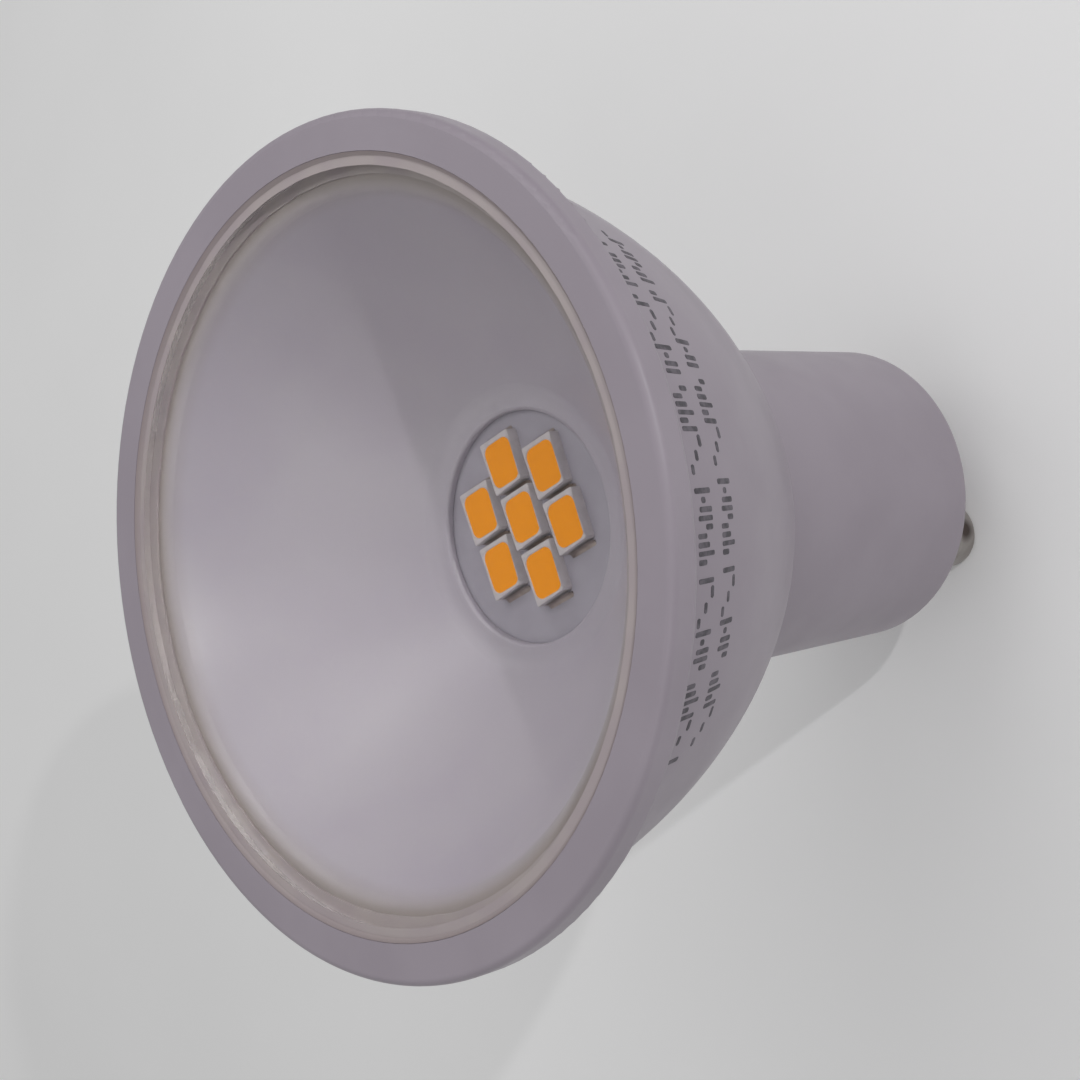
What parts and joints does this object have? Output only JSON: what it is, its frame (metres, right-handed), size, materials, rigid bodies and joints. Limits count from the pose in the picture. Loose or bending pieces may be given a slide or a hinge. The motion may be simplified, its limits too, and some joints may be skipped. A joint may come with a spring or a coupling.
{
  "type": "gu10 spotlight bulb",
  "caption": "Reflector spotlight bulb with a flared white housing, clear front lens, hexagonal cluster of surface-mount light packages and a twist-lock pin base.",
  "frame": {"origin": "centre of the base face, between the two contact pins", "axes": "+Z out of the base towards the lens and the light, X along the line through the two pins, Y across it"},
  "size_m": [0.05, 0.05, 0.0553],
  "materials": {
    "white_plastic": "smooth white moulded plastic with a soft sheen",
    "reflector_plastic": "glossy white moulded plastic",
    "clear_lens": "clear flat plastic disc",
    "sealant": "thin brownish translucent sealant",
    "aluminium": "plain pressed aluminium",
    "silicone_pad": "grey silicone",
    "board_white": "white solder resist over aluminium core",
    "steel_screw": "zinc plated steel",
    "solder": "dull solder",
    "package_white": "white package resin",
    "phosphor": "yellow orange phosphor resin",
    "nickel_pin": "nickel plated brass",
    "wire_brown": "wire insulation",
    "wire_blue": "wire insulation",
    "wire_red": "wire insulation",
    "wire_black": "wire insulation",
    "driver_laminate": "pale glass-fibre laminate",
    "capacitor_sleeve": "shrink sleeve over an aluminium can",
    "ferrite": "dark ferrite and varnished winding",
    "film_case": "moulded case",
    "chip_black": "black moulding compound",
    "resistor_coat": "painted resistor body"
  },
  "bodies": {
    "root": {"board_screws": "steel_screw", "bridge_rectifier": "chip_black", "bulk_capacitor": "capacitor_sleeve", "choke": "ferrite", "contact_pin_live": "nickel_pin", "contact_pin_neutral": "nickel_pin", "cover_lens": "clear_lens", "driver_board": "driver_laminate", "driver_chip": "chip_black", "film_capacitor": "film_case", "fusible_resistor": "resistor_coat", "heat_sink_cup": "aluminium", "housing": "white_plastic", "lead_live": "wire_brown", "lead_negative": "wire_black", "lead_neutral": "wire_blue", "lead_positive": "wire_red", "lead_solder": "solder", "led_board": "board_white", "led_package_1": "package_white", "led_package_2": "package_white", "led_package_3": "package_white", "led_package_4": "package_white", "led_package_5": "package_white", "led_package_6": "package_white", "led_package_7": "package_white", "led_phosphor_1": "phosphor", "led_phosphor_2": "phosphor", "led_phosphor_3": "phosphor", "led_phosphor_4": "phosphor", "led_phosphor_5": "phosphor", "led_phosphor_6": "phosphor", "led_phosphor_7": "phosphor", "led_solder": "solder", "lens_adhesive": "sealant", "reflector": "reflector_plastic", "thermal_pad": "silicone_pad"}
  },
  "joints": []
}
